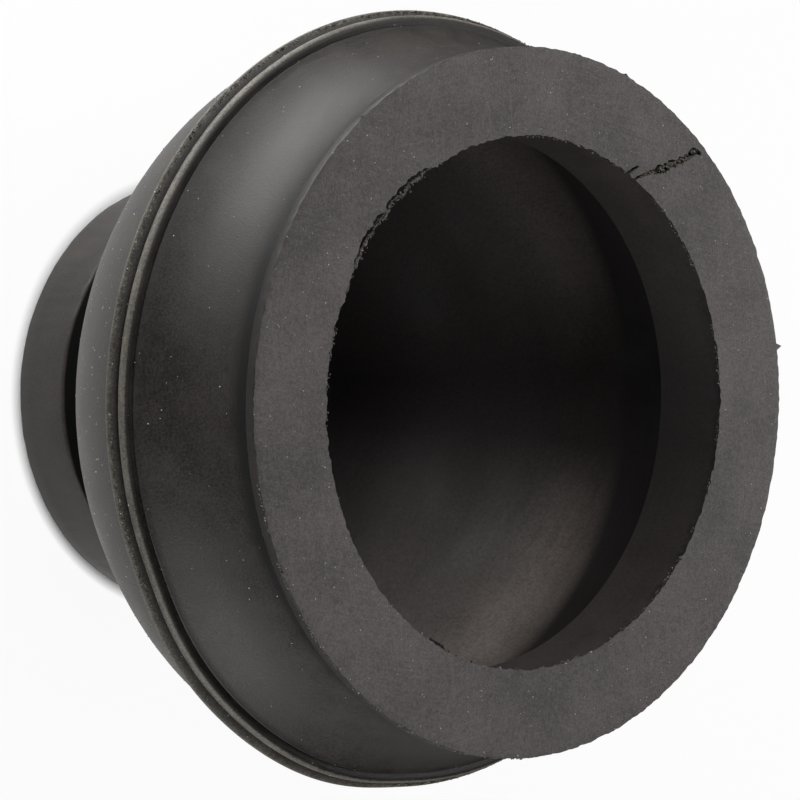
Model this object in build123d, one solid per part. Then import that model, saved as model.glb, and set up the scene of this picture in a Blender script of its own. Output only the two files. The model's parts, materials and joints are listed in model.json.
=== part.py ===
from build123d import *

import os
from math import sqrt

# Tie rod end boot: one moulded rubber piece, turned about Z.
# It stands on its small end at z = 0, with the large open end up. Millimetres.

overall_height = 26.5

# Large end: a thick ring, trimmed flat, that grips the joint's housing
ring_diameter = 34.0
lip_thickness = 0.65
lip_overhang = 0.75
lip_root_radius = 0.3
housing_bore_diameter = 26.2
housing_bore_depth = 4.6

# Bulge: a flare that opens from the ring, the bead on the mould's parting line, and a round bowl
valley_width = 1.4
bulge_diameter = 37.1
bulge_setback = 7.5
bead_width = 0.9
bead_height = 0.65
wall_thickness = 2.2
cavity_ledge_inset = 0.95
cavity_ledge_height = 1.0
cavity_rim_setback = 11.0

# Small end: the neck, its groove and the tapered collar round the ball stud
neck_diameter = 18.6
neck_length = 3.6
neck_root_radius = 0.8
collar_diameter = 22.3
collar_front_diameter = 21.6
collar_thickness = 3.2
collar_edge_radius = 0.4
stud_bore_diameter = 10.4
stud_bore_depth = 4.5
stud_bore_lead_in = 0.5
funnel_width_share = 0.9
funnel_root_radius = 2.0

# Tear: a ragged slit across the ring face, from the housing bore almost to the outer edge
tear_width = 0.3
tear_depth_share = 0.7
tear_knot_diameter = 0.6
tear_edge_margin = 0.7
tear_waviness = 0.12
tear_bore_angle = 61.5
tear_knot_angle = 49.6
tear_wave_shares = ((0, 0), (0.45, -1), (0.75, 1), (1, 0))
tear_knot_sides = 6

bulge_level = overall_height - bulge_setback
bowl_radius = bulge_level - collar_thickness - neck_length
bowl_centre_radius = bulge_diameter / 2 - bowl_radius


def band(radius, bottom, top):
    """A plain round stretch of the section, from the axis out to a radius, between two heights."""
    return Pos(0, bottom) * Rectangle(radius, top - bottom, align=Align.MIN)


def taper(bottom_radius, top_radius, bottom, top):
    """A conical stretch of the section, from the axis out, between two heights."""
    return Polygon((0, bottom), (bottom_radius, bottom), (top_radius, top), (0, top), align=None)


def bowl(radius, top):
    """A round bowl that hangs below the bulge, turned about the bowl's ring of centres, up to a height."""
    foot = bulge_level - radius
    rounding = Pos(bowl_centre_radius, bulge_level) * Circle(radius)
    return rounding & band(bowl_centre_radius + radius, foot, top)


def round_corner(section, point, radius):
    """Rounds the section's corner that lies nearest to a point."""
    return fillet(section.vertices().sort_by_distance(point)[0], radius)


def outside():
    """Half of the boot's outside, filled in to the axis, in radius and height."""
    bulge_radius = bulge_diameter / 2
    valley_radius = ring_diameter / 2 - lip_overhang
    neck_radius = neck_diameter / 2
    lip_back = overall_height - lip_thickness
    flare_start = lip_back - valley_width
    bead_end_radius = bead_width / 2
    bead_reach = bulge_radius + bead_height - bead_end_radius
    bead_level = bulge_level - bead_end_radius

    flare_edges = [
        TangentArc((valley_radius, flare_start), (bulge_radius, bulge_level), tangent=(0, -1)),
        Polyline((bulge_radius, bulge_level), (0, bulge_level), (0, flare_start), (valley_radius, flare_start)),
    ]
    section = make_face(flare_edges)
    section += band(valley_radius, flare_start, lip_back)
    section += band(ring_diameter / 2, lip_back, overall_height)
    section += bowl(bowl_radius, bulge_level)
    section += band(bead_reach, bulge_level - bead_width, bulge_level)
    section += Pos(bead_reach, bead_level) * Circle(bead_end_radius)
    section += band(neck_radius, 0, bulge_level)
    section += taper(collar_diameter / 2, collar_front_diameter / 2, 0, collar_thickness)

    section = round_corner(section, (valley_radius, lip_back), lip_root_radius)
    section = round_corner(section, (neck_radius, bulge_level - bowl_radius), neck_root_radius)
    section = round_corner(section, (neck_radius, collar_thickness), neck_root_radius)
    return round_corner(section, (collar_front_diameter / 2, collar_thickness), collar_edge_radius)


def inside():
    """Half of the space inside: housing bore, the grease space behind its ledge, funnel and stud bore."""
    housing_radius = housing_bore_diameter / 2
    stud_radius = stud_bore_diameter / 2
    bore_back = overall_height - housing_bore_depth
    ledge_foot = bore_back - cavity_ledge_height
    ledge_radius = ring_diameter / 2 - lip_overhang - cavity_ledge_inset
    cavity_radius = bowl_radius - wall_thickness
    rim_level = overall_height - cavity_rim_setback
    rim_drop = bulge_level - rim_level
    rim_radius = bowl_centre_radius + sqrt(cavity_radius**2 - rim_drop**2)
    funnel_radius = rim_radius * funnel_width_share

    section = band(housing_radius, bore_back, overall_height)
    section += taper(ledge_radius, housing_radius, ledge_foot, bore_back)
    section += taper(rim_radius, ledge_radius, rim_level, ledge_foot)
    section += bowl(cavity_radius, rim_level)
    section += taper(stud_radius, funnel_radius, stud_bore_depth, rim_level)
    section += band(stud_radius, 0, stud_bore_depth)
    section += taper(stud_radius + stud_bore_lead_in, stud_radius, 0, stud_bore_lead_in)
    return round_corner(section, (stud_radius, stud_bore_depth), funnel_root_radius)


def tear():
    """The torn slit: a wavy line of even width that ends in a wider knot, cut down from the ring's face."""
    mouth_radius = housing_bore_diameter / 2 - tear_width
    knot_radius = ring_diameter / 2 - tear_edge_margin
    mouth = Vector(mouth_radius, 0).rotate(Axis.Z, tear_bore_angle)
    knot = Vector(knot_radius, 0).rotate(Axis.Z, tear_knot_angle)
    run = knot - mouth
    aside = run.rotate(Axis.Z, 90).normalized() * tear_waviness

    line = Polyline([mouth + run * along + aside * wave for along, wave in tear_wave_shares])
    knot_face = Pos(knot.X, knot.Y) * RegularPolygon(tear_knot_diameter / 2, tear_knot_sides)
    slit = trace(line, line_width=tear_width) + knot_face
    return extrude(Pos(0, 0, overall_height) * slit, amount=-lip_thickness * tear_depth_share)


boot = revolve(Plane.XZ * (outside() - inside()), axis=Axis.Z) - tear()

os.makedirs("parts", exist_ok=True)
export_step(boot, "parts/boot.step")
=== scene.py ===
import json
import math
import random

import bpy
from mathutils import Matrix, Vector


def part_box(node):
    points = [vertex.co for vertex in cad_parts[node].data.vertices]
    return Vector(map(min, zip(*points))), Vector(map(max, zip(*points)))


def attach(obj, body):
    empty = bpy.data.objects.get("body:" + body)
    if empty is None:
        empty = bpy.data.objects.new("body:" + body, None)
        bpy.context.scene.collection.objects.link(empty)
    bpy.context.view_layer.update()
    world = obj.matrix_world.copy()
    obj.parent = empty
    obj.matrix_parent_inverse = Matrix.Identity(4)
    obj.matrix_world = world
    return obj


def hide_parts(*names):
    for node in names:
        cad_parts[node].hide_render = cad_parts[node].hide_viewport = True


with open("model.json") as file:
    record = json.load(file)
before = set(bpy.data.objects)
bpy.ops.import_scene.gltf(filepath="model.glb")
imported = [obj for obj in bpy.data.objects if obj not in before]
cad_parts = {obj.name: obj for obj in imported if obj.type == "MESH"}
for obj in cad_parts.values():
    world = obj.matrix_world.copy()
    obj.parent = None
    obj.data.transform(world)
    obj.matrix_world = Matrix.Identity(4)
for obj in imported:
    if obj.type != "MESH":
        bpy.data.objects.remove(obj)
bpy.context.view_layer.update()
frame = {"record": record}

# Boot: one piece of black rubber, moulded between two halves that part along the bead.
# Its section is turned about the axis: ring and lip, flare, bead, bowl, neck and collar.
# The large end was trimmed flat with a blade, which left a paler face with ragged edges.
mm = 0.001
boot_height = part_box("boot")[1].z / mm
dust_height = 0.045
face_level = boot_height - dust_height
mounts = {mount["name"]: mount for mount in frame["record"]["mounts"]}
housing_radius = mounts["housing_bore"]["dims"]["r_mm"]
housing_depth = mounts["housing_bore"]["dims"]["length_mm"]
stud_radius = mounts["stud_bore"]["dims"]["r_mm"]

ring_radius = 17.0
ring_edge_rounding = 0.06
trim_radius = 12.75
trim_lip_depth = 0.45
lip_thickness = 0.65
valley_radius = 16.25
valley_width = 1.4
valley_rounding = 0.3
bulge_radius = 18.55
bulge_level = 19.0
flare_edge_level = 19.27
flare_edge_rounding = 0.06
crease_depth = 0.1
bead_centre = (18.55, 18.85)
bead_rounding = 0.3
parting_groove = (18.6, 18.47)
parting_ridge = (19.03, 18.2)
parting_ridge_rounding = 0.1
bowl_top_level = 17.75
bowl_radius = 12.2
wall_thickness = 2.2
cavity_ledge_radius = 15.3
cavity_ledge_height = 1.0
cavity_rim_level = 15.5
cavity_bend = 1.5
funnel_bend = 3.0
neck_radius = 9.3
neck_rounding = 0.8
collar_radius = 11.15
collar_front_radius = 10.8
collar_thickness = 3.2
collar_edge_rounding = 0.2
foot_edge_rounding = 0.12
stud_lead_in = 0.5
stud_depth = 4.5
funnel_rounding = 2.0
funnel_width_share = 0.9
bowl_centre = (bulge_radius - bowl_radius, bulge_level)
cavity_radius = bowl_radius - wall_thickness


def straight(start, end, steps):
    """Points of a straight stretch of the section, without its last point."""
    return [
        (start[0] + (end[0] - start[0]) * i / steps, start[1] + (end[1] - start[1]) * i / steps)
        for i in range(steps)
    ]


def arc(centre, radius, start_angle, end_angle, steps):
    """Points of a round stretch of the section, without its last point. Angles are in degrees."""
    turns = [math.radians(start_angle + (end_angle - start_angle) * i / steps) for i in range(steps)]
    return [(centre[0] + radius * math.cos(turn), centre[1] + radius * math.sin(turn)) for turn in turns]


def bend(start, corner, end, steps):
    """Points of a soft bend of the section round a corner, without its last point."""
    points = []
    for i in range(steps):
        share = i / steps
        leaving = Vector(start).lerp(corner, share)
        arriving = Vector(corner).lerp(end, share)
        points.append(tuple(leaving.lerp(arriving, share)))
    return points


def outside_section():
    """The section's outside, from the trimmed edge round the bore down to the foot of the collar."""
    lip_back = boot_height - lip_thickness
    flare_start = lip_back - valley_width
    valley_root = valley_radius + valley_rounding
    edge = ring_edge_rounding
    points = straight((trim_radius, face_level), (ring_radius - edge, face_level), 14)
    points += arc((ring_radius - edge, face_level - edge), edge, 90, 0, 2)
    points += straight((ring_radius, face_level - edge), (ring_radius, lip_back + edge), 3)
    points += arc((ring_radius - edge, lip_back + edge), edge, 0, -90, 2)
    points += straight((ring_radius - edge, lip_back), (valley_root, lip_back), 1)
    points += arc((valley_root, lip_back - valley_rounding), valley_rounding, 90, 180, 4)
    points += straight((valley_radius, lip_back - valley_rounding), (valley_radius, flare_start), 2)

    flare_turn = 2 * math.atan2(bulge_radius - valley_radius, flare_start - bulge_level)
    flare_radius = (flare_start - bulge_level) / math.sin(flare_turn)
    flare_centre = (valley_radius + flare_radius, flare_start)
    edge_turn = math.asin((flare_start - flare_edge_level) / flare_radius)
    flare_end = flare_centre[0] - flare_radius * math.cos(edge_turn)
    points += arc(flare_centre, flare_radius, 180, 180 + math.degrees(edge_turn), 18)
    points += arc((flare_end, flare_edge_level - flare_edge_rounding), flare_edge_rounding, 90, -60, 4)
    points += [(flare_end - crease_depth, flare_edge_level - 2 * flare_edge_rounding)]

    points += arc(bead_centre, bead_rounding, 120, -60, 10)
    points += [parting_groove]
    points += arc(parting_ridge, parting_ridge_rounding, 70, -100, 5)

    groove_root = neck_radius + neck_rounding
    neck_corner = bowl_radius + neck_rounding
    neck_angle = -math.degrees(math.acos((groove_root - bowl_centre[0]) / neck_corner))
    neck_level = bowl_centre[1] + neck_corner * math.sin(math.radians(neck_angle))
    top_angle = math.degrees(math.asin((bowl_top_level - bowl_centre[1]) / bowl_radius))
    points += arc(bowl_centre, bowl_radius, top_angle, neck_angle, 22)
    points += arc((groove_root, neck_level), neck_rounding, 180 + neck_angle, 180, 5)
    collar_top = collar_thickness + neck_rounding
    points += straight((neck_radius, neck_level), (neck_radius, collar_top), 2)
    points += arc((groove_root, collar_top), neck_rounding, 180, 270, 5)

    collar_slope = math.degrees(math.atan2(collar_radius - collar_front_radius, collar_thickness))
    rounding = collar_edge_rounding
    edge_centre = (collar_front_radius - rounding, collar_thickness - rounding)
    points += straight((groove_root, collar_thickness), (edge_centre[0], collar_thickness), 1)
    points += arc(edge_centre, rounding, 90, collar_slope, 4)
    edge_end = (
        edge_centre[0] + rounding * math.cos(math.radians(collar_slope)),
        edge_centre[1] + rounding * math.sin(math.radians(collar_slope)),
    )
    foot = foot_edge_rounding
    points += straight(edge_end, (collar_radius, foot), 4)
    points += arc((collar_radius - foot, foot), foot, 0, -90, 2)
    return points


def inside_section():
    """The section's inside, from the foot of the collar up to the trimmed edge round the bore."""
    points = straight((collar_radius - foot_edge_rounding, 0), (stud_radius + stud_lead_in, 0), 2)
    points += straight((stud_radius + stud_lead_in, 0), (stud_radius, stud_lead_in), 1)

    centre = Vector(bowl_centre)
    rim_drop = bulge_level - cavity_rim_level
    rim = Vector((centre.x + math.sqrt(cavity_radius**2 - rim_drop**2), cavity_rim_level))
    foot = Vector((stud_radius, stud_depth))
    funnel_way = (Vector((funnel_width_share * rim.x, cavity_rim_level)) - foot).normalized()
    lean = math.atan2(funnel_way.x, funnel_way.y)
    root = funnel_rounding * math.tan(lean / 2)
    root_centre = (stud_radius + funnel_rounding, stud_depth - root)
    points += straight((stud_radius, stud_lead_in), (stud_radius, stud_depth - root), 3)
    points += arc(root_centre, funnel_rounding, 180, 180 - math.degrees(lean), 4)

    foot_offset = foot - centre
    foot_along = foot_offset.dot(funnel_way)
    chord_half = math.sqrt(foot_along**2 - foot_offset.length_squared + cavity_radius**2)
    brow = foot - funnel_way * (foot_along + chord_half)
    brow_angle = math.atan2(brow.y - centre.y, brow.x - centre.x) + funnel_bend / cavity_radius
    rim_angle = math.atan2(rim.y - centre.y, rim.x - centre.x) - cavity_bend / cavity_radius
    bowl_wall = arc(centre, cavity_radius, math.degrees(brow_angle), math.degrees(rim_angle), 11)
    bowl_end = centre + cavity_radius * Vector((math.cos(rim_angle), math.sin(rim_angle)))
    ledge = Vector((cavity_ledge_radius, boot_height - housing_depth - cavity_ledge_height))
    wall_way = (ledge - rim).normalized()
    points += straight(foot + funnel_way * root, brow - funnel_way * funnel_bend, 2)
    points += bend(brow - funnel_way * funnel_bend, brow, bowl_wall[0], 7)
    points += bowl_wall
    points += bend(bowl_end, rim, rim + wall_way * cavity_bend, 6)
    points += straight(rim + wall_way * cavity_bend, ledge, 4)
    bore_back = boot_height - housing_depth
    points += straight(ledge, (housing_radius, bore_back), 2)
    trim_back = boot_height - trim_lip_depth
    points += straight((housing_radius, bore_back), (housing_radius, trim_back), 5)
    points += straight((housing_radius, trim_back), (trim_radius, face_level), 3)
    return points


inside_points = set(inside_section())
section_points = outside_section() + inside_section()
section_mesh = bpy.data.meshes.new("boot_section")
section_count = len(section_points)
section_mesh.from_pydata(
    [(radius * mm, -height * mm, 0) for radius, height in section_points],
    [(i, (i + 1) % section_count) for i in range(section_count)],
    [],
)


def section_mark(name, value_at):
    """Keeps a number for each point of the section, which the turned mesh carries on."""
    mark = section_mesh.attributes.new(name, "FLOAT", "POINT")
    mark.data.foreach_set("value", [value_at(radius, height) for radius, height in section_points])


def near(radius, height, centre, reach):
    """1 at a point of the section, falling to 0 at a distance from it."""
    return max(0.0, 1.0 - math.dist((radius, height), centre) / reach)


def is_inside(radius, height):
    """Whether a point of the section faces the cavity or a bore."""
    return (radius, height) in inside_points


# Where the pale colour lies, as heights with its share at each. Outside it is dust, on the ridge and the
# bead;
# inside it is painted light, strongest low in the cavity near the bowl's rim, and none on the wall under the
# ledge, left dark as painted shade.
outer_dust = (
    (0.0, 0.03), (3.5, 0.03), (6.0, 0.31), (17.6, 0.47), (18.1, 0.9), (18.4, 0.9),
    (18.47, 0.0), (18.55, 0.0), (18.7, 1.0), (19.08, 1.0), (19.12, 0.0), (30.0, 0.0),
)
inner_painted_light = (
    (0.0, 0.0), (5.0, 0.1), (8.0, 0.2), (11.0, 0.34), (12.2, 0.42), (13.6, 0.9),
    (14.5, 1.0), (16.0, 0.7), (17.0, 0.0), (20.9, 0.0), (21.9, 0.17), (30.0, 0.17),
)


def dust_and_painted_light_share(radius, height):
    """How thick the dust lies outside and the painted light inside, at a point of the section, by its
    height.
    """
    levels = inner_painted_light if is_inside(radius, height) else outer_dust
    for (low, low_share), (high, high_share) in zip(levels, levels[1:]):
        if low <= height <= high:
            return low_share + (high_share - low_share) * (height - low) / (high - low)


# Painted shade: the valley under the lip is blackened most at its middle and less towards its ends.
valley_middle = (valley_radius, boot_height - lip_thickness - 0.5 * valley_width)
valley_shade_gain = 1.7


def painted_shade_share(radius, height):
    """How much painted shade blackens the skin at a point of the section: in the neck's groove and the
    valley.
    """
    if height >= collar_thickness and radius < collar_front_radius and not is_inside(radius, height):
        return 1.0
    return min(1.0, valley_shade_gain * near(radius, height, valley_middle, valley_width))


grains_from_level = 8
thick_grain_levels = (13, 18.6)
thick_grain_share = 5.0


def grain_share(radius, height):
    """How thickly grains of dust lie on the skin outside: thickest on the bulge, none on the small end."""
    if is_inside(radius, height) or not grains_from_level < height < boot_height - lip_thickness:
        return 0.0
    return thick_grain_share if thick_grain_levels[0] < height < thick_grain_levels[1] else 1.0


bore_edge = (trim_radius, face_level)
bore_edge_reach = 0.5
ring_edge = (ring_radius, face_level)
ring_edge_reach = 0.35
bulge_reach = 7.0
collar_edge = (collar_front_radius, 0.5 * collar_thickness)
section_mark("bore_edge", lambda radius, height: near(radius, height, bore_edge, bore_edge_reach))
section_mark("ring_edge", lambda radius, height: near(radius, height, ring_edge, ring_edge_reach))
section_mark("bulge", lambda radius, height: near(radius, height, parting_ridge, bulge_reach))
section_mark("collar", lambda radius, height: near(radius, height, collar_edge, collar_thickness))
section_mark("inside", lambda radius, height: float(is_inside(radius, height)))
section_mark("dust", dust_and_painted_light_share)
section_mark("clean", painted_shade_share)
section_mark("skin", grain_share)
section_mark("trimmed", lambda radius, height: float(height > face_level - 0.5 * ring_edge_rounding))

section_object = bpy.data.objects.new("boot_section", section_mesh)


def add_node(tree, kind, inputs=None, **options):
    """Adds a node, sets its options, and fills or links its inputs by name or number."""
    node = tree.nodes.new(kind)
    for option, value in options.items():
        setattr(node, option, value)
    for key, value in (inputs or {}).items():
        if isinstance(value, bpy.types.NodeSocket):
            tree.links.new(value, node.inputs[key])
        else:
            node.inputs[key].default_value = value
    return node


def calculate(tree, operation, *values):
    """The result of an operation on numbers."""
    return add_node(tree, "ShaderNodeMath", dict(enumerate(values)), operation=operation).outputs[0]


def calculate_vector(tree, operation, *values):
    """The result of an operation on vectors. A length or a dot product is a number."""
    node = add_node(tree, "ShaderNodeVectorMath", dict(enumerate(values)), operation=operation)
    return node.outputs["Value" if operation in ("LENGTH", "DOT_PRODUCT") else "Vector"]


def spread(tree, value, low, high, to_low=0.0, to_high=1.0):
    """Maps a value's range onto another one."""
    settings = {"Value": value, "From Min": low, "From Max": high, "To Min": to_low, "To Max": to_high}
    return add_node(tree, "ShaderNodeMapRange", settings).outputs[0]


def weighed(tree, *parts):
    """The sum of values, each with its weight."""
    total = 0.0
    for value, weight in parts:
        total = calculate(tree, "MULTIPLY_ADD", value, weight, total)
    return total


def way_outward(tree, place):
    """The level direction from the axis to a place."""
    return calculate_vector(tree, "NORMALIZE", calculate_vector(tree, "MULTIPLY", place, (1, 1, 0)))


def shape_tree(name, sockets):
    """Starts a Geometry Nodes tree with named inputs. Returns the tree and its inputs' sockets."""
    tree = bpy.data.node_groups.new(name, "GeometryNodeTree")
    tree.interface.new_socket("Geometry", in_out="INPUT", socket_type="NodeSocketGeometry")
    for label, kind in sockets.items():
        tree.interface.new_socket(label, in_out="INPUT", socket_type="NodeSocket" + kind)
    tree.interface.new_socket("Geometry", in_out="OUTPUT", socket_type="NodeSocketGeometry")
    return tree, tree.nodes.new("NodeGroupInput").outputs


def marked(tree, name):
    """A mark that the shape carries."""
    return add_node(tree, "GeometryNodeInputNamedAttribute", {"Name": name}, data_type="FLOAT").outputs[0]


def end_tree(tree, geometry, material, where=True):
    """Ends a tree: instances made real, and a material on all of it or on a part."""
    real = add_node(tree, "GeometryNodeRealizeInstances", {"Geometry": geometry})
    painted = add_node(tree, "GeometryNodeSetMaterial", {
        "Geometry": real.outputs[0], "Selection": where, "Material": material})
    tree.links.new(painted.outputs[0], tree.nodes.new("NodeGroupOutput").inputs[0])


def grow(name, tree, values):
    """Runs a tree with its inputs set, and keeps what it makes as the plain mesh of a new object."""
    crease_angle = math.radians(40)
    piece = bpy.data.objects.new(name, bpy.data.meshes.new(name))
    bpy.context.scene.collection.objects.link(piece)
    modifier = piece.modifiers.new(name, "NODES")
    modifier.node_group = tree
    for socket in tree.interface.items_tree:
        if socket.in_out == "INPUT" and socket.name in values:
            modifier[socket.identifier] = values[socket.name]
    evaluated = piece.evaluated_get(bpy.context.evaluated_depsgraph_get())
    baked = bpy.data.meshes.new_from_object(evaluated)
    piece.modifiers.clear()
    piece.data = baked
    baked.shade_smooth()
    baked.set_sharp_from_angle(angle=crease_angle)
    return piece


def new_material(name):
    """A node material. Returns it with its tree, its shader and the object's own coordinates."""
    material = bpy.data.materials.new(name)
    material.use_nodes = True
    tree = material.node_tree
    place = add_node(tree, "ShaderNodeTexCoord").outputs["Object"]
    return material, tree, tree.nodes["Principled BSDF"], place


def carried(tree, name):
    """A mark that the mesh carries, for a material."""
    return add_node(tree, "ShaderNodeAttribute", attribute_name=name).outputs["Fac"]


def noise(tree, place, size, detail=2.0, roughness=0.5):
    """A noise whose lumps are about a size across, in millimetres."""
    settings = {"Vector": place, "Scale": 1 / (size * mm), "Detail": detail, "Roughness": roughness}
    return add_node(tree, "ShaderNodeTexNoise", settings).outputs[0]


def strokes(tree, place, angle, length, width):
    """A noise drawn out into strokes of a length and a width, in millimetres, at an angle round Z."""
    drawn = add_node(tree, "ShaderNodeMapping", {
        "Vector": place, "Rotation": (0, 0, math.radians(angle)),
        "Scale": (length * mm, width * mm, width * mm),
    }, vector_type="TEXTURE").outputs[0]
    return add_node(tree, "ShaderNodeTexNoise", {"Vector": drawn, "Scale": 1.0, "Detail": 2.0}).outputs[0]


def mix_colours(tree, share, first, second):
    """Blends two colours by a share."""
    settings = {0: share, 6: first, 7: second}
    return add_node(tree, "ShaderNodeMix", settings, data_type="RGBA").outputs[2]


def raise_grain(tree, shader, height, depth, strength):
    """Gives the surface a fine relief, of a depth in millimetres."""
    settings = {"Strength": strength, "Distance": depth * mm, "Height": height}
    bump = add_node(tree, "ShaderNodeBump", settings)
    tree.links.new(bump.outputs[0], shader.inputs["Normal"])


skin_specular = 0.35


def moulded_rubber():
    """The moulded skin: near black and slightly glossy, finely grained, with dust where it collects, and
    painted shade in the valley and the neck's groove.
    """
    bare_dark, bare_pale = (0.0118, 0.0099, 0.0089, 1), (0.0325, 0.0274, 0.0247, 1)
    dust_and_painted_light_dark, dust_and_painted_light_pale = (0.064, 0.058, 0.051, 1), (0.145, 0.133, 0.114, 1)
    painted_shade_black = (0.003, 0.0026, 0.0024, 1)
    material, tree, shader, place = new_material("moulded_black_rubber")
    bloom = noise(tree, place, size=2.0, detail=5.0, roughness=0.65)
    grain = noise(tree, place, size=0.11, detail=3.0, roughness=0.65)
    scuffs = strokes(tree, place, angle=35, length=1.2, width=0.16)
    tone = spread(tree, weighed(tree, (bloom, 0.34), (grain, 0.54), (scuffs, 0.12)), 0.4, 0.6)
    bare = mix_colours(tree, tone, bare_dark, bare_pale)
    dust_and_painted_light = mix_colours(tree, tone, dust_and_painted_light_dark, dust_and_painted_light_pale)
    laid = carried(tree, "dust")
    caught = spread(tree, weighed(tree, (laid, 1.0), (grain, 1.2)), 0.6, 1.6)
    skin = mix_colours(tree, calculate(tree, "MULTIPLY", laid, caught), bare, dust_and_painted_light)
    # Painted shade: the skin turns near black in the valley and the neck's groove.
    colour = mix_colours(tree, carried(tree, "clean"), skin, painted_shade_black)
    tree.links.new(colour, shader.inputs["Base Color"])
    shader.inputs["Specular IOR Level"].default_value = skin_specular
    tree.links.new(spread(tree, tone, 0, 1, 0.43, 0.6), shader.inputs["Roughness"])
    raise_grain(tree, shader, weighed(tree, (grain, 0.8), (scuffs, 0.2)), depth=0.04, strength=0.5)
    return material


def lining_rubber():
    """The skin inside: dull, finely mottled and faintly streaked; its pale colour is painted light, thick
    below and thinner above, with painted shade in a bare band between.
    """
    bare_dark, bare_pale = (0.0215, 0.017, 0.0177, 1), (0.034, 0.0273, 0.028, 1)
    dust_and_painted_light_dark, dust_and_painted_light_pale = (0.14, 0.122, 0.113, 1), (0.26, 0.228, 0.208, 1)
    painted_shade_band, painted_light_below, painted_light_above = 0.12, 1.0, 0.65
    material, tree, shader, place = new_material("lining_black_rubber")
    bloom = noise(tree, place, size=3.0, detail=4.0, roughness=0.6)
    mottle = noise(tree, place, size=0.16, detail=3.0, roughness=0.7)
    streaks = strokes(tree, place, angle=52, length=7.0, width=0.3)
    tone = spread(tree, weighed(tree, (bloom, 0.33), (mottle, 0.54), (streaks, 0.13)), 0.38, 0.6)
    bare = mix_colours(tree, tone, bare_dark, bare_pale)
    dust_and_painted_light = mix_colours(tree, tone, dust_and_painted_light_dark, dust_and_painted_light_pale)
    # Painted light and shade: the pale colour lies towards -Y and, less, towards +Y, with a bare dark band
    # between.
    across = add_node(tree, "ShaderNodeSeparateXYZ", {0: way_outward(tree, place)}).outputs["Y"]
    lower = spread(tree, across, -0.15, -0.55, painted_shade_band, painted_light_below)
    upper = spread(tree, across, 0.1, 0.4, painted_shade_band, painted_light_above)
    side = calculate(tree, "MAXIMUM", lower, upper)
    laid = calculate(tree, "MULTIPLY", carried(tree, "dust"), side)
    tree.links.new(mix_colours(tree, laid, bare, dust_and_painted_light), shader.inputs["Base Color"])
    shader.inputs["Specular IOR Level"].default_value = skin_specular
    tree.links.new(spread(tree, bloom, 0.35, 0.7, 0.5, 0.66), shader.inputs["Roughness"])
    raise_grain(tree, shader, mottle, depth=0.02, strength=0.5)
    return material


def trimmed_rubber():
    """The blade-cut face: a paler, matt black with fine crossing scratches."""
    dark, pale = (0.044, 0.039, 0.0378, 1), (0.111, 0.0985, 0.0955, 1)
    material, tree, shader, place = new_material("trimmed_black_rubber")
    patches = noise(tree, place, size=5.0, detail=3.0, roughness=0.55)
    grain = noise(tree, place, size=0.1, detail=3.0, roughness=0.75)
    mottle = noise(tree, place, size=0.4, detail=2.0, roughness=0.6)
    upright = strokes(tree, place, angle=80, length=2.0, width=0.07)
    level = strokes(tree, place, angle=-9, length=1.6, width=0.08)
    drawn = spread(tree, noise(tree, place, size=3.5), 0.42, 0.58)
    scratches = add_node(tree, "ShaderNodeMix", {0: drawn, 2: upright, 3: level}).outputs[0]
    scores = spread(tree, strokes(tree, place, angle=12, length=14.0, width=0.05), 0.62, 0.74)
    cross_scores = spread(tree, strokes(tree, place, angle=98, length=9.0, width=0.05), 0.62, 0.74)
    blend = weighed(
        tree, (patches, 0.29), (grain, 0.47), (mottle, 0.11), (scratches, 0.13), (scores, 0.1),
        (cross_scores, 0.1),
    )
    colour = mix_colours(tree, spread(tree, blend, 0.41, 0.6), dark, pale)
    tree.links.new(colour, shader.inputs["Base Color"])
    shader.inputs["Roughness"].default_value = 0.72
    raise_grain(tree, shader, weighed(tree, (grain, 0.6), (scratches, 0.4)), depth=0.03, strength=0.7)
    return material


def torn_rubber():
    """The rough inside of the tear: uneven, from darker than the trimmed face to paler, and crumbly."""
    dark, pale = (0.026, 0.0232, 0.02, 1), (0.19, 0.171, 0.146, 1)
    material, tree, shader, place = new_material("torn_black_rubber")
    grain = noise(tree, place, size=0.16, detail=4.0, roughness=0.7)
    colour = mix_colours(tree, spread(tree, grain, 0.35, 0.7), dark, pale)
    tree.links.new(colour, shader.inputs["Base Color"])
    shader.inputs["Roughness"].default_value = 0.85
    raise_grain(tree, shader, grain, depth=0.05, strength=0.8)
    return material


# The tear's two runs, bend by bend: where it lies on the face, and half the slit's width there
tear_runs = (
    ((5.6, 10.92, 0.12), (6.35, 11.33, 0.15), (6.85, 11.56, 0.06)),
    ((6.1, 10.66, 0.1), (7.0, 11.1, 0.12), (7.65, 11.28, 0.16), (8.3, 11.43, 0.29), (8.95, 11.7, 0.29),
     (9.75, 11.95, 0.23), (10.3, 12.22, 0.2), (10.62, 12.42, 0.24), (10.9, 12.4, 0.18),
     (11.15, 12.33, 0.06)),
)
tear_depth = 0.36
tear_step = 0.11
tear_side_shares = (0.6, 1.35)
tear_depth_shares = (0.7, 1.1)
tear_floor_share = 0.6
tear_random = random.Random(11)


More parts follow.
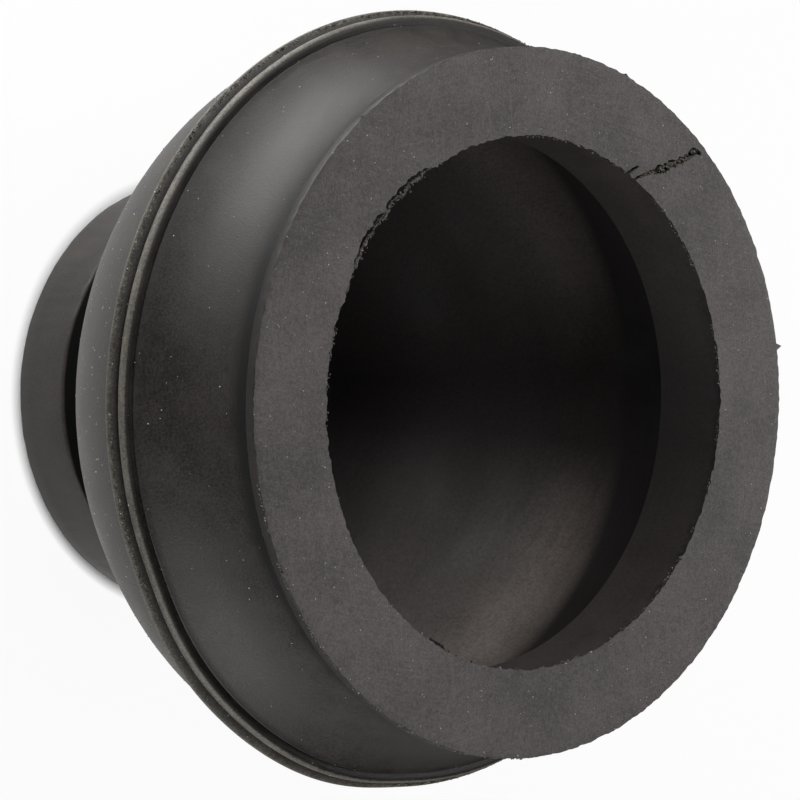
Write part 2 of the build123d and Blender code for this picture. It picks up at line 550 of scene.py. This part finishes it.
def torn_slit(name):
    """The space of the tear, run by run: ragged sides that close towards an uneven floor."""
    corners = []
    faces = []
    above = face_level + tear_depth
    for run in tear_runs:
        stations = []
        for (x0, y0, half0), (x1, y1, half1) in zip(run, run[1:]):
            length = math.dist((x0, y0), (x1, y1))
            steps = max(1, round(length / tear_step))
            side = Vector((y0 - y1, x1 - x0)) / length
            for i in range(steps):
                share = i / steps
                middle = Vector((x0 + (x1 - x0) * share, y0 + (y1 - y0) * share))
                stations.append((middle, side, half0 + (half1 - half0) * share))
        stations.append((Vector((x1, y1)), side, half1))
        first = len(corners)
        for middle, side, half in stations:
            left = middle + side * half * tear_random.uniform(*tear_side_shares)
            right = middle - side * half * tear_random.uniform(*tear_side_shares)
            floor_level = face_level - tear_depth * tear_random.uniform(*tear_depth_shares)
            corners += [(*left, above), (*right, above)]
            corners += [(*middle.lerp(edge, tear_floor_share), floor_level) for edge in (right, left)]
        for station in range(first, len(corners) - 4, 4):
            for i in range(4):
                j = (i + 1) % 4
                faces.append((station + i, station + j, station + 4 + j, station + 4 + i))
        last = len(corners) - 4
        faces += [(first + 3, first + 2, first + 1, first), (last, last + 1, last + 2, last + 3)]
    mesh = bpy.data.meshes.new(name)
    mesh.from_pydata([Vector(corner) * mm for corner in corners], [], faces)
    return bpy.data.objects.new(name, mesh)


def turned_boot_tree():
    """Sweeps the section round the axis, roughs its edges, pushes it out of round and cuts the tear."""
    tree, given = shape_tree("turned_boot", {
        "Section": "Object", "Segments": "Int", "Sweep Radius": "Float", "Seed": "Float",
        "Rag Size": "Float", "Bore Rag": "Float", "Bore Gap": "Float", "Ring Rag": "Float",
        "Nub Height": "Float", "Bulge Push": "Float", "Collar Wave": "Float", "Wave Size": "Float",
        "Frayed Side": "Vector", "Parted Side": "Vector", "Bulged Side": "Vector", "Tear": "Object",
        "Skin": "Material", "Cut": "Material", "Torn": "Material", "Lining": "Material",
    })
    section = add_node(tree, "GeometryNodeObjectInfo", {"Object": given["Section"]})
    profile = add_node(tree, "GeometryNodeMeshToCurve", {"Mesh": section.outputs["Geometry"]})
    path = add_node(tree, "GeometryNodeCurvePrimitiveCircle", {
        "Resolution": given["Segments"], "Radius": given["Sweep Radius"]})
    inward = calculate(tree, "MULTIPLY", given["Sweep Radius"], -1.0)
    shift = add_node(tree, "ShaderNodeCombineXYZ", {"X": inward})
    moved = add_node(tree, "GeometryNodeTransform", {
        "Geometry": profile.outputs[0], "Translation": shift.outputs[0]})
    turned = add_node(tree, "GeometryNodeCurveToMesh", {
        "Curve": path.outputs[0], "Profile Curve": moved.outputs[0]})

    position = add_node(tree, "GeometryNodeInputPosition").outputs[0]
    outward = way_outward(tree, position)

    def lumps(size):
        """A seeded noise about zero, whose lumps have a size."""
        value = add_node(tree, "ShaderNodeTexNoise", {
            "Vector": position, "W": given["Seed"], "Scale": calculate(tree, "DIVIDE", 1.0, size),
            "Detail": 3.0, "Roughness": 0.7,
        }, noise_dimensions="4D").outputs[0]
        return calculate(tree, "SUBTRACT", value, 0.5)

    def on_side(side, outer, inner, least=0.0):
        """1 on one side of the boot, within an angle, falling to a least share at a wider angle."""
        return add_node(tree, "ShaderNodeMapRange", {
            "Value": calculate_vector(tree, "DOT_PRODUCT", outward, side),
            "From Min": math.cos(math.radians(outer)), "From Max": math.cos(math.radians(inner)),
            "To Min": least,
        }, interpolation_type="SMOOTHSTEP").outputs[0]

    def product(*factors):
        """The product of numbers."""
        total = factors[0]
        for factor in factors[1:]:
            total = calculate(tree, "MULTIPLY", total, factor)
        return total

    def fully_marked(name):
        """The faces whose corners all carry a mark."""
        nearly_one = 0.9
        return add_node(tree, "FunctionNodeCompare", {
            0: marked(tree, name), 1: nearly_one}, data_type="FLOAT", operation="GREATER_EQUAL").outputs[0]

    rag = lumps(given["Rag Size"])
    nubs = spread(tree, rag, 0.15, 0.28)
    frayed = on_side(given["Frayed Side"], outer=45, inner=28, least=0.5)
    parted = on_side(given["Parted Side"], outer=17, inner=10)
    bulged = on_side(given["Bulged Side"], outer=32, inner=4)
    pushes = (
        product(marked(tree, "bore_edge"), given["Bore Rag"], rag, frayed),
        product(marked(tree, "bore_edge"), given["Bore Gap"], parted),
        product(marked(tree, "ring_edge"), given["Ring Rag"], rag),
        product(marked(tree, "ring_edge"), given["Nub Height"], nubs),
        product(marked(tree, "bulge"), given["Bulge Push"], bulged),
        product(marked(tree, "collar"), given["Collar Wave"], lumps(given["Wave Size"])),
    )
    total = pushes[0]
    for push in pushes[1:]:
        total = calculate(tree, "ADD", total, push)
    offset = add_node(tree, "ShaderNodeVectorMath", {0: outward, "Scale": total}, operation="SCALE")
    ragged = add_node(tree, "GeometryNodeSetPosition", {
        "Geometry": turned.outputs[0], "Offset": offset.outputs[0]})
    skin = add_node(tree, "GeometryNodeSetMaterial", {
        "Geometry": ragged.outputs[0], "Material": given["Skin"]})
    painted = add_node(tree, "GeometryNodeSetMaterial", {
        "Geometry": skin.outputs[0], "Selection": fully_marked("trimmed"), "Material": given["Cut"]})
    tear = add_node(tree, "GeometryNodeObjectInfo", {"Object": given["Tear"]})
    slit = add_node(tree, "GeometryNodeSetMaterial", {
        "Geometry": tear.outputs["Geometry"], "Material": given["Torn"]})
    opened = add_node(tree, "GeometryNodeMeshBoolean", {
        "Mesh 1": painted.outputs[0], "Mesh 2": slit.outputs[0]}, operation="DIFFERENCE", solver="MANIFOLD")
    end_tree(tree, opened.outputs[0], given["Lining"], fully_marked("inside"))
    return tree


def towards(angle):
    """The level direction at an angle round the axis, in degrees from +X."""
    return (math.cos(math.radians(angle)), math.sin(math.radians(angle)), 0.0)


cut_face = trimmed_rubber()
torn_face = torn_rubber()
boot = grow("boot_rubber", turned_boot_tree(), {
    "Section": section_object, "Segments": 600, "Sweep Radius": 5.0 * mm, "Seed": 3.0,
    "Rag Size": 0.5 * mm, "Bore Rag": 0.9 * mm, "Bore Gap": 0.3 * mm, "Ring Rag": 0.32 * mm,
    "Nub Height": 0.75 * mm, "Bulge Push": 0.35 * mm, "Collar Wave": 0.4 * mm, "Wave Size": 4.0 * mm,
    "Frayed Side": towards(150), "Parted Side": towards(136), "Bulged Side": towards(236),
    "Tear": torn_slit("tear_space"), "Skin": moulded_rubber(), "Cut": cut_face, "Torn": torn_face,
    "Lining": lining_rubber(),
})
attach(boot, "root")
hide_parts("boot")

# Flash: a thin strand of rubber that the blade left along the bore's edge, curled and half torn off.
# It is the same rubber as the boot, and hangs on at its ends and wherever it touches the edge.
def line_object(name, points):
    """A bare line through points, in millimetres, for a tree to follow."""
    mesh = bpy.data.meshes.new(name)
    links = [(i, i + 1) for i in range(len(points) - 1)]
    mesh.from_pydata([Vector(point) * mm for point in points], links, [])
    return bpy.data.objects.new(name, mesh)


def round_line(name, radius, level, start_angle, end_angle, steps):
    """A line round the axis, at a radius and a height, between two angles in degrees."""
    turns = [math.radians(start_angle + (end_angle - start_angle) * i / steps) for i in range(steps + 1)]
    return line_object(name, [(radius * math.cos(turn), radius * math.sin(turn), level) for turn in turns])


def curled_strand_tree():
    """A strand along a line: it wanders off the line, and grows thick and thin."""
    tree, given = shape_tree("curled_strand", {
        "Line": "Object", "Thickness": "Float", "Wander": "Vector", "Curl Size": "Float", "Seed": "Float",
        "Rubber": "Material",
    })
    strand_sides = 6
    line = add_node(tree, "GeometryNodeObjectInfo", {"Object": given["Line"]})
    curve = add_node(tree, "GeometryNodeMeshToCurve", {"Mesh": line.outputs["Geometry"]})
    position = add_node(tree, "GeometryNodeInputPosition").outputs[0]
    curl = add_node(tree, "ShaderNodeTexNoise", {
        "Vector": position, "W": given["Seed"],
        "Scale": calculate(tree, "DIVIDE", 1.0, given["Curl Size"]), "Detail": 2.0, "Roughness": 0.6,
    }, noise_dimensions="4D")
    about_zero = calculate_vector(tree, "SUBTRACT", curl.outputs["Color"], (0.5, 0.5, 0.5))
    wander = calculate_vector(tree, "MULTIPLY", about_zero, given["Wander"])
    curled = add_node(tree, "GeometryNodeSetPosition", {"Geometry": curve.outputs[0], "Offset": wander})
    section = add_node(tree, "GeometryNodeCurvePrimitiveCircle", {
        "Resolution": strand_sides, "Radius": given["Thickness"]})
    swell = spread(tree, curl.outputs[0], 0.3, 0.7, 0.25, 1.0)
    swept = add_node(tree, "GeometryNodeCurveToMesh", {
        "Curve": curled.outputs[0], "Profile Curve": section.outputs[0], "Scale": swell, "Fill Caps": True})
    end_tree(tree, swept.outputs[0], given["Rubber"])
    return tree


strand_radius = 12.72
strand_level = face_level - 0.24
strand_start_angle = 119
strand_end_angle = 182
strand = grow("bore_flash", curled_strand_tree(), {
    "Line": round_line("flash_line", strand_radius, strand_level, strand_start_angle, strand_end_angle, 260),
    "Thickness": 0.12 * mm, "Wander": (0.6 * mm, 0.6 * mm, 0.3 * mm), "Curl Size": 0.4 * mm, "Seed": 5.0,
    "Rubber": cut_face,
})
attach(strand, "root")

# Crumbs: grains of torn rubber and grit that stick along the trimmed bore, the ring's outer edge and
# the parting ridge, and in the tear. Near-black lumps in a nick at the bore's edge are painted shade, for
# the nick's shadow.
# Each is a small angular lump, half sunk in what it sticks to.
def random_size(tree, given):
    """A size for each grain, between the smallest and the largest."""
    return add_node(tree, "FunctionNodeRandomValue", {
        2: given["Smallest"], 3: given["Largest"], "Seed": given["Seed"]}, data_type="FLOAT").outputs[1]


def random_vector(tree, given, low, high):
    """A vector for each grain, between two others."""
    return add_node(tree, "FunctionNodeRandomValue", {
        0: low, 1: high, "Seed": given["Seed"]}, data_type="FLOAT_VECTOR").outputs[0]


def angular_lump(tree):
    """One grain of unit radius, with twenty flat sides."""
    return add_node(tree, "GeometryNodeMeshIcoSphere", {"Radius": 1.0, "Subdivisions": 1}).outputs[0]


full_turn = (math.tau, math.tau, math.tau)


def crumbs_tree():
    """Lumps of random size and turn, scattered about a line where a noise lets them be."""
    tree, given = shape_tree("crumbs", {
        "Line": "Object", "Count": "Int", "Scatter": "Vector", "Smallest": "Float", "Largest": "Float",
        "Clump Size": "Float", "Bare Share": "Float", "Seed": "Int", "Rubber": "Material",
    })
    least_stretch, most_stretch = (0.6, 0.6, 0.6), (1.4, 1.0, 1.0)
    line = add_node(tree, "GeometryNodeObjectInfo", {"Object": given["Line"]})
    curve = add_node(tree, "GeometryNodeMeshToCurve", {"Mesh": line.outputs["Geometry"]})
    places = add_node(tree, "GeometryNodeCurveToPoints", {
        "Curve": curve.outputs[0], "Count": given["Count"]})
    other_way = calculate_vector(tree, "MULTIPLY", given["Scatter"], (-1, -1, -1))
    jitter = random_vector(tree, given, other_way, given["Scatter"])
    scattered = add_node(tree, "GeometryNodeSetPosition", {"Geometry": places.outputs[0], "Offset": jitter})
    clumps = add_node(tree, "ShaderNodeTexNoise", {
        "Vector": add_node(tree, "GeometryNodeInputPosition").outputs[0],
        "Scale": calculate(tree, "DIVIDE", 1.0, given["Clump Size"]), "Detail": 1.0})
    kept = add_node(tree, "FunctionNodeCompare", {
        0: clumps.outputs[0], 1: given["Bare Share"]}, data_type="FLOAT", operation="GREATER_THAN")
    stretch = random_vector(tree, given, least_stretch, most_stretch)
    scale = add_node(tree, "ShaderNodeVectorMath", {
        0: stretch, "Scale": random_size(tree, given)}, operation="SCALE")
    lumps = add_node(tree, "GeometryNodeInstanceOnPoints", {
        "Points": scattered.outputs[0], "Selection": kept.outputs[0], "Instance": angular_lump(tree),
        "Rotation": random_vector(tree, given, (0, 0, 0), full_turn), "Scale": scale.outputs[0]})
    end_tree(tree, lumps.outputs[0], given["Rubber"])
    return tree


def grit(name, dark, pale):
    """Matt grit, each grain a little lighter or darker than the next."""
    material, tree, shader, place = new_material(name)
    shade = spread(tree, noise(tree, place, size=0.3, detail=1.0), 0.4, 0.68)
    tree.links.new(mix_colours(tree, shade, dark, pale), shader.inputs["Base Color"])
    shader.inputs["Roughness"].default_value = 0.9
    return material


crumbs = crumbs_tree()
parting_grit = grit("parting_grit", dark=(0.04, 0.037, 0.03, 1), pale=(0.27, 0.255, 0.205, 1))
bore_crumbs = grow("bore_crumbs", crumbs, {
    "Line": round_line(
        "bore_line", radius=trim_radius + 0.03, level=face_level - 0.11,
        start_angle=0, end_angle=360, steps=300),
    "Count": 1500, "Scatter": (0.09 * mm, 0.09 * mm, 0.06 * mm), "Smallest": 0.02 * mm,
    "Largest": 0.065 * mm, "Clump Size": 1.5 * mm, "Bare Share": 0.46, "Seed": 4, "Rubber": parting_grit,
})
frayed_crumbs = grow("frayed_crumbs", crumbs, {
    "Line": round_line(
        "frayed_line", radius=strand_radius - 0.02, level=strand_level + 0.06,
        start_angle=strand_start_angle - 2, end_angle=strand_end_angle + 1, steps=120),
    "Count": 280, "Scatter": (0.16 * mm, 0.16 * mm, 0.1 * mm), "Smallest": 0.025 * mm,
    "Largest": 0.08 * mm, "Clump Size": 0.8 * mm, "Bare Share": 0.48, "Seed": 9, "Rubber": cut_face,
})
tear_crumb_level = face_level - 0.15
tear_crumbs = grow("tear_crumbs", crumbs, {
    "Line": line_object("tear_line", [(x, y, tear_crumb_level) for x, y, half in tear_runs[1][1:-1]]),
    "Count": 420, "Scatter": (0.14 * mm, 0.14 * mm, 0.07 * mm), "Smallest": 0.03 * mm,
    "Largest": 0.085 * mm, "Clump Size": 0.6 * mm, "Bare Share": 0.42, "Seed": 6, "Rubber": torn_face,
})
parting_crumbs = grow("parting_crumbs", crumbs, {
    "Line": round_line("parting_line", radius=19.0, level=18.3, start_angle=0, end_angle=360, steps=400),
    "Count": 6000, "Scatter": (0.09 * mm, 0.09 * mm, 0.06 * mm), "Smallest": 0.02 * mm,
    "Largest": 0.05 * mm, "Clump Size": 3.0 * mm, "Bare Share": 0.38, "Seed": 8, "Rubber": parting_grit,
})
ring_crumbs = grow("ring_crumbs", crumbs, {
    "Line": round_line(
        "ring_line", radius=ring_radius - 0.04, level=face_level - 0.09,
        start_angle=190, end_angle=272, steps=120),
    "Count": 900, "Scatter": (0.07 * mm, 0.07 * mm, 0.05 * mm), "Smallest": 0.02 * mm,
    "Largest": 0.06 * mm, "Clump Size": 1.2 * mm, "Bare Share": 0.47, "Seed": 10, "Rubber": parting_grit,
})
# Painted shade: the nick's lumps are near black, standing in for the shadow in the nick.
nick_crumbs = grow("nick_crumbs", crumbs, {
    "Line": round_line(
        "nick_line", radius=trim_radius - 0.07, level=face_level - 0.1,
        start_angle=240.9, end_angle=245.2, steps=12),
    "Count": 110, "Scatter": (0.06 * mm, 0.06 * mm, 0.04 * mm), "Smallest": 0.04 * mm,
    "Largest": 0.085 * mm, "Clump Size": 1.0 * mm, "Bare Share": 0.0, "Seed": 12,
    "Rubber": grit("nick_grit", dark=(0.003, 0.0028, 0.0026, 1), pale=(0.02, 0.018, 0.0165, 1)),
})
for piece in (bore_crumbs, frayed_crumbs, tear_crumbs, parting_crumbs, ring_crumbs, nick_crumbs):
    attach(piece, "root")

# Dust: pale grains of chalk and grit that cling to the rubber, on the trimmed face and on the bulge.
# They lie where they fell, half sunk in the bloom on the surface.
def dust_tree():
    """Grains of random size and turn, strewn over the surface that carries them, by a mark's share."""
    tree, given = shape_tree("dust", {
        "Surface": "Object", "Face Grains": "Float", "Skin Grains": "Float", "Smallest": "Float",
        "Largest": "Float", "Seed": "Int", "Grit": "Material",
    })
    surface = add_node(tree, "GeometryNodeObjectInfo", {"Object": given["Surface"]}).outputs["Geometry"]
    density = weighed(
        tree, (marked(tree, "trimmed"), given["Face Grains"]), (marked(tree, "skin"), given["Skin Grains"]))
    places = add_node(tree, "GeometryNodeDistributePointsOnFaces", {
        "Mesh": surface, "Density": density, "Seed": given["Seed"]})
    grains = add_node(tree, "GeometryNodeInstanceOnPoints", {
        "Points": places.outputs[0], "Instance": angular_lump(tree),
        "Rotation": random_vector(tree, given, (0, 0, 0), full_turn), "Scale": random_size(tree, given)})
    end_tree(tree, grains.outputs[0], given["Grit"])
    return tree


grains_per_square_mm = 1 / mm**2
chalky_dust = grit("chalky_dust", dark=(0.13, 0.126, 0.12, 1), pale=(0.55, 0.54, 0.52, 1))
dust = grow("dust_grains", dust_tree(), {
    "Surface": boot, "Face Grains": 1.6 * grains_per_square_mm, "Skin Grains": 0.3 * grains_per_square_mm,
    "Smallest": 0.014 * mm, "Largest": 0.042 * mm, "Seed": 2, "Grit": chalky_dust,
})
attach(dust, "root")

# Floor: the plain white sheet that the boot stands on, seen as white, with the boot's soft shadow.
# It is not part of the object. Under the foot it is left as plain paper, which no light reaches.
# In the rubber's sheen it glows as a painted reflection, lit by no lamp: a bright patch round the boot, a
# dark ring and a dimmer patch.
floor_half = 3.0
floor_corners = ((-1, -1), (1, -1), (1, 1), (-1, 1))
plain_paper = (0.8, 0.8, 0.8, 1)
pure_white = (1, 1, 1, 1)
sheet_share = 0.93
foot_margin = 1.05
near_gleam_strength = 0.99
near_gleam_ends = (28 * mm, 34 * mm)
dark_ring_ends = (39 * mm, 46 * mm)
wide_gleam_strength = 0.4
wide_gleam_ends = (90 * mm, 100 * mm)

floor_mesh = bpy.data.meshes.new("floor")
floor_mesh.from_pydata([(x * floor_half, y * floor_half, 0) for x, y in floor_corners], [], [(0, 1, 2, 3)])
floor = bpy.data.objects.new("floor", floor_mesh)
bpy.context.scene.collection.objects.link(floor)
floor_material, floor_tree, floor_shader, floor_place = new_material("white_sheet")
floor_shader.inputs["Base Color"].default_value = plain_paper
floor_shader.inputs["Roughness"].default_value = 0.9
floor_shader.inputs["Specular IOR Level"].default_value = 0.0
from_axis = calculate_vector(floor_tree, "LENGTH", floor_place)
foot_edge = collar_radius * mm
sheet_white = spread(floor_tree, from_axis, foot_edge, foot_margin * foot_edge, 0.0, sheet_share)
# Painted reflection, seen in the sheen only: a bright patch round the boot, a dark ring and a dimmer patch
# further out.
near_gleam = spread(floor_tree, from_axis, *near_gleam_ends, near_gleam_strength, 0.0)
wide_gleam = spread(floor_tree, from_axis, *wide_gleam_ends, wide_gleam_strength, 0.0)
outer_share = spread(floor_tree, from_axis, *dark_ring_ends)
sheet_gleam = weighed(floor_tree, (near_gleam, 1.0), (wide_gleam, outer_share))
seen = add_node(floor_tree, "ShaderNodeLightPath").outputs
seen_direct = calculate(floor_tree, "MULTIPLY", seen["Is Camera Ray"], sheet_white)
seen_mirrored = calculate(floor_tree, "MAXIMUM", seen["Is Glossy Ray"], seen["Is Transmission Ray"])
white = add_node(floor_tree, "ShaderNodeEmission", {"Color": pure_white, "Strength": 1.0})
gleam = add_node(floor_tree, "ShaderNodeEmission", {"Color": pure_white, "Strength": sheet_gleam})
sheet = add_node(floor_tree, "ShaderNodeMixShader", {
    0: seen_direct, 1: floor_shader.outputs[0], 2: white.outputs[0]})
floor_mix = add_node(floor_tree, "ShaderNodeMixShader", {
    0: seen_mirrored, 1: sheet.outputs[0], 2: gleam.outputs[0]})
floor_tree.links.new(floor_mix.outputs[0], floor_tree.nodes["Material Output"].inputs["Surface"])
floor_mesh.materials.append(floor_material)

# Light: soft panels and smaller cards that stand close round the boot, in a dark room.
# The strongest panels stand above and to the right of it, as the photograph sees it.
# The cards stand lower down and light the boot's flank.
def soft_panel(name, place, width, height, power):
    """A panel of soft light at a place, its sizes in millimetres, that faces the boot's middle."""
    lamp = bpy.data.lights.new(name, "AREA")
    lamp.shape = "RECTANGLE"
    lamp.size = width * mm
    lamp.size_y = height * mm
    lamp.energy = power
    light = bpy.data.objects.new(name, lamp)
    aim = Vector((0, 0, boot_height / 2)) * mm
    light.location = Vector(place) * mm
    light.rotation_euler = (light.location - aim).to_track_quat("Z", "Y").to_euler()
    light.visible_camera = False
    bpy.context.scene.collection.objects.link(light)


soft_panel("top_panel", (-60, 130, 150), width=100, height=100, power=0.155)
soft_panel("top_right_panel", (70, 130, 130), width=100, height=100, power=0.123)
soft_panel("right_panel", (160, 0, 110), width=100, height=100, power=0.142)
soft_panel("lower_panel", (-60, -130, 150), width=100, height=100, power=0.05)
soft_panel("lower_card", (-58, -100, 35), width=100, height=60, power=0.086)
soft_panel("top_card", (-20, 52, 4), width=50, height=20, power=0.038)
soft_panel("top_left_card", (-45, 38, 4), width=40, height=20, power=0.012)
world = bpy.data.worlds.new("studio")
world.use_nodes = True
world.node_tree.nodes["Background"].inputs["Color"].default_value = pure_white
world.node_tree.nodes["Background"].inputs["Strength"].default_value = 0.0
bpy.context.scene.world = world

# Camera: fitted to the boot's round edges in the photograph, in its 800 by 800 frame.
# It looks into the large end from the side, so that the boot's axis lies level in the picture
# and the small end points away to the left.
photo_width = 800
focal_pixels = 3962
ring_centre_pixel = (532.6, 403.1)
ring_radius_pixels = 356
axis_yaw = math.radians(40.72)
axis_pitch = math.radians(1.28)

axis_seen = Vector((
    math.sin(axis_yaw) * math.cos(axis_pitch),
    -math.sin(axis_pitch),
    math.cos(axis_yaw) * math.cos(axis_pitch),
))
up_seen = Vector((0, 1, 0)) - axis_seen * axis_seen.y
up_seen.normalize()
side_seen = up_seen.cross(axis_seen)
camera_turn = Matrix((side_seen, up_seen, axis_seen))
distance = focal_pixels / ring_radius_pixels * ring_radius * mm
half_width = photo_width / 2
ring_centre_seen = Vector((
    (ring_centre_pixel[0] - half_width) / focal_pixels * distance,
    (half_width - ring_centre_pixel[1]) / focal_pixels * distance,
    -distance,
))
ring_centre = Vector((0, 0, boot_height * mm))
camera_data = bpy.data.cameras.new("photo_camera")
camera_data.sensor_width = 36
camera_data.lens = focal_pixels / photo_width * camera_data.sensor_width
camera_data.clip_start = 0.01
camera = bpy.data.objects.new("photo_camera", camera_data)
camera_place = Matrix.Translation(ring_centre - camera_turn @ ring_centre_seen)
camera.matrix_world = camera_place @ camera_turn.to_4x4()
bpy.context.scene.collection.objects.link(camera)
bpy.context.scene.camera = camera
bpy.context.scene.view_settings.view_transform = "Standard"
